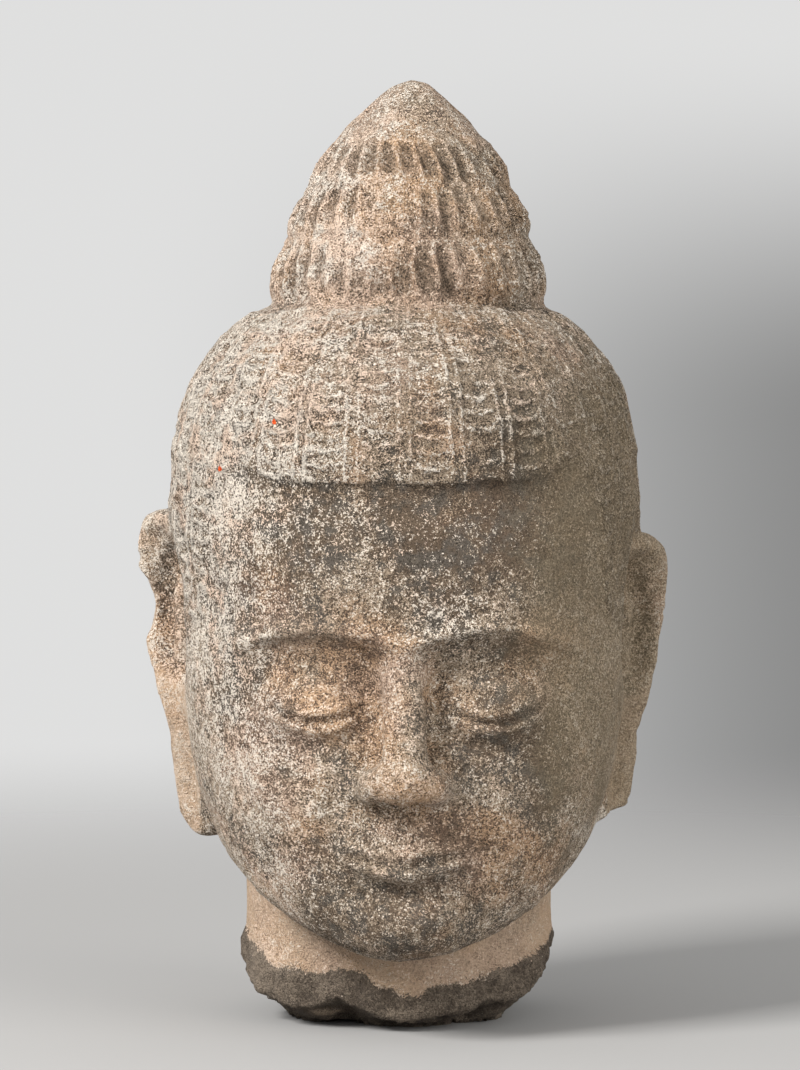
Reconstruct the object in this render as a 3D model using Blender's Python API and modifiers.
"""A weathered stone Buddha head with a tiered top-knot, plaited hair and long ears, broken off at the neck.

The head is one block of stone. Rough masses are joined and remeshed into a block, the block's surface is
moved onto the carved form, which the functions below describe, and it is cut flat where it stands.
+Z is up, the face looks along -Y, and the origin is the middle of the underside.
"""

import math

import bmesh
import bpy
import numpy as np

# Driving dimensions, in metres
HEIGHT = 0.340
HAIR_STEP = 0.0022
PLAIT_RIB_HEIGHT = 0.0015
PLAIT_RIB_WIDTH = 0.0034
LOBE_DEPTH = 0.0022

# Counts around the head, and from the lowest tier up
PLAIT_COUNT = 30
LOBE_COUNTS = (38, 36, 30)

# The canon: the head is six modules tall, and the face three, from chin to hairline
MODULE = HEIGHT / 6
CHIN = 0.50
MOUTH = 1.17
NOSE_BASE = 1.50
EYE = 2.08
BROW = 2.47
HAIRLINE = 3.50
CROWN = 4.60
KNOT_TOP = 6.00

# Everything below is in modules, as shares of the head's own height
AXIS_Y = 0.08
SKULL_CENTRE = (0.0, 0.12, 3.42)
SKULL_RADII = (1.455, 1.535, 1.265)
SKULL_ROUND, SKULL_UPRIGHT = 2.15, 2.55

# Height, half width, front and back of the face and jaw
FACE_STATIONS = (
    (0.20, 0.38, -1.00, 0.20),
    (0.50, 0.74, -1.20, 0.35),
    (0.80, 0.99, -1.30, 0.55),
    (1.17, 1.19, -1.355, 0.95),
    (1.60, 1.33, -1.385, 1.25),
    (2.10, 1.41, -1.40, 1.45),
    (2.60, 1.44, -1.43, 1.55),
    (3.10, 1.44, -1.43, 1.58),
    (3.60, 1.38, -1.36, 1.50),
)
FACE_ROUND = 2.3
JAW_FRONT, JAW_BACK = (-1.20, 0.40), (0.45, 1.22)
JAW_FILLET = 0.34
NECK_CENTRE = (-0.035, 0.26)
NECK_RADII = (0.985, 0.92)
NECK_RIM = 1.04
NECK_BELOW = 0.25

# Half width of the mouth, and the eyes' corners from the middle: the face is five eyes wide
EYE_INNER, EYE_OUTER = 0.28, 0.86
MOUTH_HALF = 0.43

# The hair's edge: angle from the front, and height of the edge there
HAIR_EDGE_STATIONS = (
    (0, 3.47),
    (30, 3.49),
    (46, 3.52),
    (52, 3.30),
    (57, 2.75),
    (66, 2.55),
    (88, 2.55),
    (104, 1.95),
    (140, 1.72),
    (180, 1.66),
)

# Height and radius of the knot's smooth envelope, under its tiers
KNOT_STATIONS = (
    (4.30, 0.82),
    (4.60, 0.82),
    (4.99, 0.755),
    (5.31, 0.64),
    (5.60, 0.485),
    (5.78, 0.325),
    (5.90, 0.195),
    (5.97, 0.095),
    (6.00, 0.0),
)
KNOT_TIERS = ((4.56, 5.00), (5.00, 5.32), (5.32, 5.62))
TIER_BULGES = (0.085, 0.065, 0.045)
KNOT_CENTRE = (0.02, 0.10)
KNOT_LEAN = 0.035

# Height and sideways reach of the ears' outer edge, and the sizes of their bowl and lobe
EAR_REACH_STATIONS = ((1.10, 1.40), (1.45, 1.455), (1.85, 1.51), (2.30, 1.62), (2.70, 1.69), (3.20, 1.705))
EAR_TURN = math.radians(32)
EAR_BOWL_HALF, EAR_BOWL_SHARE = 0.40, 0.30
EAR_BOWL_UP = 0.69
EAR_LOBE_TOP, EAR_LOBE_BOTTOM = 0.24, 0.19
EAR_Y_TOP, EAR_Y_BOTTOM = 0.26, 0.10
EAR_FRONT, EAR_BACK = 0.10, 0.34
# Side, lowest and highest point of each ear
EARS = ((-1, 1.15, 3.26), (1, 1.21, 3.09))

EAR_CHIP_CENTRE, EAR_CHIP_RADII = (-1.80, 0.40, 2.60), (0.20, 0.40, 0.24)

# The rough block, as ball and drum masses
BALLS = (
    ((0.0, 0.12, 3.20), (1.45, 1.52, 1.45)),
    ((0.0, 0.00, 2.00), (1.32, 1.36, 1.50)),
    ((0.0, -1.42, 1.85), (0.24, 0.24, 0.42)),
    ((-1.45, 0.26, 2.62), (0.22, 0.30, 0.62)),
    ((1.45, 0.26, 2.48), (0.22, 0.30, 0.60)),
    ((-1.34, 0.12, 1.70), (0.18, 0.20, 0.58)),
    ((1.34, 0.12, 1.72), (0.18, 0.20, 0.55)),
)
DRUMS = (
    ((-0.035, 0.26, 0.60), 0.98, 0.98, 1.60),
    ((0.02, 0.10, 5.10), 0.84, 0.12, 1.60),
)

# Where the carving is fine and keeps more faces: the face's features and the ears
FINE_BOXES = (
    ((-0.95, -2.00, 0.85), (0.95, -0.95, 2.75)),
    ((-1.80, -0.25, 1.05), (-1.22, 0.75, 3.30)),
    ((1.22, -0.25, 1.10), (1.80, 0.75, 3.20)),
)
FINE_WEIGHT, FINE_FAVOUR = 0.5, 0.04

VOXELS = (0.085, 0.055, 0.032)
ROUNDS = 5
PROBE = 0.002
MOST_MOVE = 0.12
TRIANGLES = 9600


def through(stations, at, column=1):
    """A smooth curve through stations, whose first column is the position."""
    table = np.array(stations, dtype=float)
    knots, values = table[:, 0], table[:, column]
    slopes = np.gradient(values, knots)
    at = np.clip(at, knots[0], knots[-1])
    left = np.clip(np.searchsorted(knots, at, side="right") - 1, 0, len(knots) - 2)
    span = knots[left + 1] - knots[left]
    t = (at - knots[left]) / span
    return (
        values[left] * (1 + 2 * t) * (1 - t) ** 2
        + slopes[left] * span * t * (1 - t) ** 2
        + values[left + 1] * t * t * (3 - 2 * t)
        - slopes[left + 1] * span * t * t * (1 - t)
    )


def ramp(value, low, high):
    """0 below low, 1 above high, and a smooth rise between them."""
    t = np.clip((value - low) / (high - low), 0, 1)
    return t * t * (3 - 2 * t)


def mound(value, centre, width):
    """A smooth hill, 1 at its centre."""
    return np.exp(-(((value - centre) / width) ** 2))


def joined(first, second, fillet):
    """Two forms as one, with a fillet where they meet."""
    h = np.clip(0.5 + 0.5 * (second - first) / fillet, 0, 1)
    return second + (first - second) * h - fillet * h * (1 - h)


def kept(first, second, fillet):
    """What two forms share, with its edge rounded."""
    return -joined(-first, -second, fillet)


def ball(points, centre, radii):
    """How far points are outside an ellipsoid, nearly."""
    local = (points - np.array(centre)) / np.array(radii)
    near = np.sqrt((local**2).sum(axis=1)) + 1e-9
    steep = np.sqrt(((local / np.array(radii)) ** 2).sum(axis=1)) + 1e-9
    outer = ramp(near, 0.3, 0.9)
    return (near - 1) * (outer * near / steep + (1 - outer) * min(radii))


def limb(points, start, end, start_radius, end_radius):
    """How far points are outside a rounded, tapered bar."""
    start, end = np.array(start), np.array(end)
    run = end - start
    t = np.clip((points - start) @ run / (run @ run), 0, 1)
    away = np.sqrt(((points - start - t[:, None] * run) ** 2).sum(axis=1))
    return away - (start_radius + (end_radius - start_radius) * t)


def skull(points):
    """The cranium, an ovoid that is fuller than an ellipsoid."""
    x, y, z = (np.abs(points - np.array(SKULL_CENTRE)) / np.array(SKULL_RADII)).T
    level = (x**SKULL_ROUND + y**SKULL_ROUND) ** (SKULL_UPRIGHT / SKULL_ROUND)
    return ((level + z**SKULL_UPRIGHT) ** (1 / SKULL_UPRIGHT) - 1) * SKULL_RADII[0]


def face(points):
    """The face and jaw, lofted through their stations and trimmed along the jaw."""
    x, y, z = points.T
    half = through(FACE_STATIONS, z, 1)
    front = AXIS_Y - through(FACE_STATIONS, z, 2)
    back = through(FACE_STATIONS, z, 3) - AXIS_Y
    depth = np.where(y < AXIS_Y, front, back)
    radial = (np.abs(x) / half) ** FACE_ROUND + (np.abs(y - AXIS_Y) / depth) ** FACE_ROUND
    form = (radial ** (1 / FACE_ROUND) - 1) * np.minimum(half, depth)
    rise, run = JAW_BACK[1] - JAW_FRONT[1], JAW_BACK[0] - JAW_FRONT[0]
    under = ((y - JAW_FRONT[0]) * rise - (z - JAW_FRONT[1]) * run) / math.hypot(rise, run)
    low, high = FACE_STATIONS[0][0], FACE_STATIONS[-1][0]
    form = kept(form, np.maximum(low - z, z - high), 0.12)
    return kept(form, under, JAW_FILLET)


def neck_angle(points):
    """Angle round the neck, 0 at the front, and the share of the neck's radius."""
    x = (points[:, 0] - NECK_CENTRE[0]) / NECK_RADII[0]
    y = (points[:, 1] - NECK_CENTRE[1]) / NECK_RADII[1]
    return np.arctan2(x, -y), np.hypot(x, y)


def neck(points):
    """The neck, a little flared towards the break."""
    z = points[:, 2]
    _, share = neck_angle(points)
    flare = 0.030 * ramp(-z, -0.60, -0.25)
    side = (share - 1) * NECK_RADII[1] - flare
    return kept(side, np.maximum(-NECK_BELOW - z, z - HAIRLINE + 1.2), 0.05)


def neck_break(points):
    """How far points are inside the stone lost from the neck's lower edge, as an uneven rounded bevel."""
    angle, share = neck_angle(points)
    waves = 0.045 * np.sin(3 * angle + 0.6) + 0.030 * np.cos(7 * angle) + 0.022 * np.sin(12 * angle + 1.0)
    height = 0.15 + 0.22 * np.sin(angle) ** 2 + waves
    inset = 0.17 + 0.04 * np.sin(2 * angle + 1.0) + 0.03 * np.sin(5 * angle - 0.4)
    t = np.clip(1 - (NECK_RIM - share) / inset, 0, 1)
    surface = height * t**2 - NECK_BELOW * (1 - ramp(t, 0, 0.25))
    return (surface - points[:, 2]) * 0.6


def nose(points):
    """The nose: bridge, tip and wings, with shallow nostrils."""
    x = np.abs(points[:, 0])
    folded = np.column_stack([x, points[:, 1], points[:, 2]])
    form = limb(points, (0, -1.335, BROW - 0.02), (0, -1.575, NOSE_BASE + 0.22), 0.105, 0.140)
    tip = ball(points, (0, -1.590, NOSE_BASE + 0.165), (0.170, 0.160, 0.145))
    form = joined(form, tip, 0.10)
    wing = ball(folded, (0.205, -1.440, NOSE_BASE + 0.140), (0.130, 0.180, 0.130))
    form = joined(form, wing, 0.09)
    nostril = ball(folded, (0.110, -1.530, NOSE_BASE - 0.010), (0.050, 0.070, 0.040))
    return kept(form, -nostril, 0.04)


def eyes(x, z):
    """Relief of the sockets, lowered lids and their edges, on folded x."""
    across = np.clip((x - EYE_INNER) / (EYE_OUTER - EYE_INNER), 0, 1)
    arch = np.sin(math.pi * across)
    inside = ramp(x, EYE_INNER - 0.06, EYE_INNER + 0.08) * (1 - ramp(x, EYE_OUTER - 0.08, EYE_OUTER + 0.06))
    edge = EYE + 0.02 + 0.03 * across - 0.095 * arch
    crease = edge + 0.30 * arch**0.9
    middle = 0.5 * (EYE_INNER + EYE_OUTER)
    socket = -0.105 * mound(x, 0.50, 0.40) * mound(z, EYE + 0.13, 0.23)
    inner_hollow = -0.060 * mound(x, 0.24, 0.11) * mound(z, EYE + 0.12, 0.20)
    dome = np.clip(1 - ((x - middle) / 0.40) ** 2 - ((z - EYE - 0.045) / 0.27) ** 2, 0, 1)
    globe = 0.150 * dome**1.3
    lid_line = -0.022 * mound(z, crease, 0.034) * inside
    upper_edge = 0.018 * mound(z, edge + 0.042, 0.030) * inside
    slit = -0.030 * mound(z, edge - 0.004, 0.027) * inside
    lower_edge = 0.016 * mound(z, edge - 0.056, 0.034) * inside
    return socket + inner_hollow + globe + lid_line + upper_edge + slit + lower_edge


def brows(x, z):
    """Relief of the arched brows, which meet over the nose."""
    arch = BROW + 0.150 * np.sin(math.pi * np.clip(x / 1.16, 0, 1)) ** 0.9 - 0.05 * np.clip(x, 0, 1.2)
    fade = 1 - ramp(x, 0.80, 1.20)
    ridge = 0.036 * mound(z, arch, 0.065) * fade
    shelf = 0.030 * ramp(z, arch - 0.14, arch + 0.02) * (1 - ramp(z, arch + 0.05, arch + 0.60)) * fade
    return ridge + shelf


def mouth(x, z):
    """Relief of the lips, a quiet smile, with the hollows at their corners."""
    share = np.clip(x / MOUTH_HALF, 0, 1)
    line = MOUTH + 0.060 * share**2 - 0.016 * mound(x, 0, 0.08)
    full = np.sqrt(np.clip(1 - share**2, 0, 1))
    top = 0.020 + (0.125 + 0.016 * mound(x, 0.085, 0.06) - 0.020 * mound(x, 0, 0.05)) * full
    low = 0.020 + 0.140 * full
    upper = (1 - ramp(z, line, line + top)) * (z >= line)
    lower = np.sin(math.pi * np.clip((line - z) / low, 0, 1) ** 0.85) * (z < line)
    lips = (0.080 * upper + 0.072 * lower) * full**0.5
    swell = 0.075 * mound(x, 0, 0.46) * mound(z, MOUTH + 0.04, 0.33)
    parting = -0.050 * mound(z, line, 0.032) * (1 - ramp(share, 0.80, 1.0))
    corner = -0.040 * mound(x, MOUTH_HALF + 0.04, 0.075) * mound(z, MOUTH + 0.07, 0.095)
    return lips + swell + parting + corner


def chin_and_cheeks(x, z):
    """Relief of the chin, the hollow above it, the cheeks and the groove under the nose."""
    chin = 0.110 * mound(x, 0, 0.30) * mound(z, CHIN + 0.24, 0.19)
    hollow = -0.040 * mound(x, 0, 0.27) * mound(z, CHIN + 0.47, 0.075)
    cheek = 0.060 * mound(x, 0.78, 0.38) * mound(z, NOSE_BASE + 0.08, 0.42)
    fold = -0.024 * mound(x, 0.42 + 0.35 * (NOSE_BASE + 0.1 - z), 0.07) * mound(z, NOSE_BASE, 0.22)
    groove = -0.022 * mound(x, 0, 0.05) * mound(z, NOSE_BASE - 0.12, 0.085)
    temple = -0.030 * mound(x, 1.22, 0.20) * mound(z, BROW + 0.25, 0.35)
    return chin + hollow + cheek + fold + groove + temple


def face_relief(points):
    """Everything cut in relief on the front of the face."""
    x, y, z = np.abs(points[:, 0]), points[:, 1], points[:, 2]
    in_front = ramp(-y, 0.35, 0.75) * (1 - ramp(z, HAIRLINE - 0.12, HAIRLINE))
    return in_front * (eyes(x, z) + brows(x, z) + mouth(x, z) + chin_and_cheeks(x, z))


def hair_angle(points):
    """Angle round the head, 0 at the front."""
    return np.arctan2(points[:, 0], AXIS_Y - points[:, 1])


def plaits(points):
    """Relief of the plaits: a rib between each two."""
    turn = hair_angle(points) * PLAIT_COUNT / (2 * math.pi)
    radius = np.hypot(points[:, 0], points[:, 1] - AXIS_Y)
    away = np.abs(turn - np.round(turn)) * radius * 2 * math.pi / PLAIT_COUNT
    rib = PLAIT_RIB_HEIGHT / MODULE * mound(away, 0, PLAIT_RIB_WIDTH / MODULE / 2)
    return rib * ramp(radius, 0.88, 1.02)


def hair(points, skin):
    """The hair over the skin, standing out from it by a step along the hairline."""
    angle = np.degrees(np.abs(hair_angle(points)))
    edge = through(HAIR_EDGE_STATIONS, angle)
    cover = skin - HAIR_STEP / MODULE - plaits(points)
    return kept(cover, (edge - points[:, 2]) * 0.6, 0.025)


def top_knot(points):
    """The pointed knot of hair, in tiers of upright scooped lobes."""
    z = points[:, 2]
    lean = KNOT_LEAN * (z - CROWN) / (KNOT_TOP - CROWN)
    x, y = points[:, 0] - KNOT_CENTRE[0] - lean, points[:, 1] - KNOT_CENTRE[1]
    angle, away = np.arctan2(x, -y), np.hypot(x, y)
    radius = through(KNOT_STATIONS, z)
    for (low, high), bulge, count in zip(KNOT_TIERS, TIER_BULGES, LOBE_COUNTS):
        share = np.clip((z - low) / (high - low), 0, 1)
        swell = np.sin(math.pi * share**0.8) ** 0.55
        radius = radius + bulge * swell
        turn = angle * count / (2 * math.pi)
        side = 2 * np.abs(turn - np.round(turn))
        scoop = np.clip(1 - (side / 0.72) ** 2, 0, 1) * np.clip(1 - ((share - 0.47) / 0.40) ** 4, 0, 1)
        radius = radius - LOBE_DEPTH / MODULE * np.sqrt(scoop)
    slope = 0.72 + 0.28 * (1 - ramp(z, 5.3, 5.8))
    return kept((away - radius) * slope, np.maximum(CROWN - 0.35 - z, z - KNOT_TOP), 0.03)


def ear_outline(across, z, low, high):
    """How far points are outside the ear's outline, seen square to its leaf: a bowl over a long lobe."""
    tall = high - low
    bowl_half = EAR_BOWL_SHARE * tall
    u, v = across / EAR_BOWL_HALF, (z - high + bowl_half) / bowl_half
    near = np.hypot(u, v) + 1e-9
    bowl = near * (near - 1) / (np.hypot(u / EAR_BOWL_HALF, v / bowl_half) + 1e-9)
    top, bottom = high - 1.45 * bowl_half, low + EAR_LOBE_BOTTOM
    share = np.clip((top - z) / (top - bottom), 0, 1)
    width = EAR_LOBE_TOP + (EAR_LOBE_BOTTOM - EAR_LOBE_TOP) * share
    lobe = np.hypot(across - 0.03 * share, z - top + share * (top - bottom)) - width
    return joined(bowl, lobe, 0.16)


def ear_place(points, side, low, high):
    """Where points are from an ear: across its leaf, out of it, and up it as a share."""
    x, y, z = points[:, 0] * side, points[:, 1], points[:, 2]
    up = np.clip((z - low) / (high - low), 0, 1)
    half = EAR_LOBE_BOTTOM + (EAR_BOWL_HALF - EAR_LOBE_BOTTOM) * ramp(up, 0.25, 0.70)
    dx = x - through(EAR_REACH_STATIONS, z) + half * math.sin(EAR_TURN) + EAR_FRONT * math.cos(EAR_TURN)
    dy = y - EAR_Y_BOTTOM - (EAR_Y_TOP - EAR_Y_BOTTOM) * up
    across = dx * math.sin(EAR_TURN) + dy * math.cos(EAR_TURN)
    out = dx * math.cos(EAR_TURN) - dy * math.sin(EAR_TURN)
    return across, out, up


def ear_leaf(points, side, low, high):
    """One ear's thick leaf, turned outwards, with its rim and the groove in its lobe."""
    across, out, up = ear_place(points, side, low, high)
    outline = ear_outline(across, points[:, 2], low, high)
    rim = 0.055 * mound(outline, -0.070, 0.055) * ramp(up, 0.30, 0.45)
    groove = 0.075 * mound(across, 0.02, 0.055) * ramp(up, 0.07, 0.14) * (1 - ramp(up, 0.32, 0.42))
    leaf = kept(out - EAR_FRONT - rim + groove, -out - EAR_BACK, 0.05)
    return kept(outline, leaf, 0.08)


def ear_hollow(points, side, low, high):
    """The bowl sunk inside the rim, into the ear and the side of the head, and open outwards."""
    across, out, up = ear_place(points, side, low, high)
    u = (across + 0.03) / 0.265
    v = (up - EAR_BOWL_UP) * (high - low) / 0.44
    floor = 0.17 * (u * u + v * v) - 0.08
    return kept((np.hypot(u, v) - 1) * 0.265, (floor - out) * 0.9, 0.05)


def ear_folds(points, side, low, high):
    """The fold inside the rim and the small flap at the front."""
    across, out, up = ear_place(points, side, low, high)
    tall = high - low
    local = np.column_stack([across, out, (up - EAR_BOWL_UP) * tall])
    fold = limb(local, (0.100, 0.01, -0.36), (0.115, -0.01, 0.10), 0.065, 0.055)
    branch = limb(local, (0.115, -0.01, 0.10), (-0.04, -0.03, 0.28), 0.055, 0.040)
    flap = ball(local, (-0.285, 0.04, -0.13), (0.095, 0.085, 0.130))
    return np.minimum(joined(fold, branch, 0.03), flap)


def with_ears(points, form):
    """The form with both ears, the left one with its rim broken below the top."""
    for side, low, high in EARS:
        form = joined(form, ear_leaf(points, side, low, high), 0.05)
        form = kept(form, -ear_hollow(points, side, low, high), 0.05)
        form = joined(form, ear_folds(points, side, low, high), 0.03)
    return kept(form, -ball(points, EAR_CHIP_CENTRE, EAR_CHIP_RADII), 0.04)


def stone(points):
    """How far points are outside the carved stone, in modules."""
    skin = joined(skull(points), face(points), 0.16)
    skin = joined(skin, neck(points), 0.10)
    skin = skin - face_relief(points)
    skin = joined(skin, nose(points), 0.09)
    form = np.minimum(skin, hair(points, skin))
    form = with_ears(points, form)
    form = joined(form, top_knot(points), 0.025)
    return kept(form, neck_break(points), 0.03)


def settled(points, rounds):
    """Points moved onto the carved surface, each along its steepest direction."""
    for _ in range(rounds):
        value = stone(points)
        slope = np.column_stack([(stone(points + step) - value) / PROBE for step in PROBE * np.eye(3)])
        steepness = np.maximum((slope**2).sum(axis=1), 0.3)
        share = np.clip(value / steepness, -MOST_MOVE, MOST_MOVE)
        points = points - share[:, None] * slope
    return points


def clear_scene():
    """Removes what the scene holds."""
    for item in list(bpy.data.objects):
        bpy.data.objects.remove(item)


def mesh_points(mesh):
    """The mesh's vertices as an array."""
    flat = np.empty(3 * len(mesh.vertices))
    mesh.vertices.foreach_get("co", flat)
    return flat.reshape(-1, 3)


def rough_block():
    """The rough masses, in modules, joined into one object."""
    for centre, radii in BALLS:
        bpy.ops.mesh.primitive_uv_sphere_add(segments=32, ring_count=20, radius=1, location=centre, scale=radii)
    for centre, low_radius, high_radius, depth in DRUMS:
        bpy.ops.mesh.primitive_cone_add(
            vertices=48, radius1=low_radius, radius2=high_radius, depth=depth, location=centre
        )
    block = bpy.context.object
    for mass in bpy.data.objects:
        mass.select_set(True)
    bpy.ops.object.join()
    bpy.ops.object.transform_apply(location=True, rotation=True, scale=True)
    return block


def take_result(item):
    """Makes the evaluated mesh the item's own, with its modifiers used up."""
    graph = bpy.context.evaluated_depsgraph_get()
    graph.update()
    result = bpy.data.meshes.new_from_object(item.evaluated_get(graph))
    item.modifiers.clear()
    item.data = result


def remesh(item, voxel):
    """Gives the item an even skin of quads."""
    skin = item.modifiers.new("Even skin", "REMESH")
    skin.mode = "VOXEL"
    skin.voxel_size = voxel
    take_result(item)


def carve(item, rounds):
    """Moves the item's surface onto the carved form."""
    points = settled(mesh_points(item.data), rounds)
    item.data.vertices.foreach_set("co", points.ravel())
    item.data.update()


def in_boxes(points, boxes):
    """Which points lie in one of the boxes, each given by its lowest and highest corner."""
    inside = np.zeros(len(points), dtype=bool)
    for low, high in boxes:
        inside |= np.all((points > np.array(low)) & (points < np.array(high)), axis=1)
    return inside


def thin_out(item, triangles):
    """Keeps the faces that the form needs most, and more of them where the carving is fine."""
    fine = in_boxes(mesh_points(item.data), FINE_BOXES)
    group = item.vertex_groups.new(name="Plain stone")
    for chosen, weight in ((fine, FINE_WEIGHT), (~fine, 1.0)):
        group.add([int(index) for index in np.nonzero(chosen)[0]], weight, "REPLACE")
    item.data.calc_loop_triangles()
    thinner = item.modifiers.new("Fewer faces", "DECIMATE")
    thinner.ratio = min(1.0, triangles / len(item.data.loop_triangles))
    thinner.vertex_group = group.name
    thinner.vertex_group_factor = FINE_FAVOUR
    take_result(item)
    item.vertex_groups.clear()


def cut_base(item):
    """Cuts the item flat at the height it stands on, and closes the cut."""
    cut = bmesh.new()
    cut.from_mesh(item.data)
    everything = cut.verts[:] + cut.edges[:] + cut.faces[:]
    made = bmesh.ops.bisect_plane(
        cut, geom=everything, dist=1e-5, plane_co=(0, 0, 0), plane_no=(0, 0, 1), clear_inner=True
    )
    rim = [edge for edge in made["geom_cut"] if isinstance(edge, bmesh.types.BMEdge)]
    bmesh.ops.holes_fill(cut, edges=rim, sides=len(rim))
    bmesh.ops.recalc_face_normals(cut, faces=cut.faces[:])
    cut.to_mesh(item.data)
    cut.free()


def stone_material():
    """Dark patina over sandstone, dull all over."""
    finish = bpy.data.materials.new("Weathered sandstone")
    finish.use_nodes = True
    shader = finish.node_tree.nodes["Principled BSDF"]
    shader.inputs["Base Color"].default_value = (0.27, 0.21, 0.155, 1.0)
    shader.inputs["Roughness"].default_value = 0.93
    shader.inputs["Metallic"].default_value = 0.0
    return finish


def main():
    clear_scene()
    head = rough_block()
    head.name = head.data.name = "stone_head"
    for voxel in VOXELS:
        remesh(head, voxel)
        carve(head, ROUNDS)
    thin_out(head, TRIANGLES)
    cut_base(head)
    head.scale = (MODULE, MODULE, MODULE)
    bpy.ops.object.transform_apply(location=False, rotation=False, scale=True)
    head.data.name = "stone_head"
    head.data.materials.clear()
    head.data.materials.append(stone_material())
    head.data.shade_smooth()
    parts = bpy.data.collections.new("Stone Buddha head")
    bpy.context.scene.collection.children.link(parts)
    for home in list(head.users_collection):
        home.objects.unlink(head)
    parts.objects.link(head)


main()
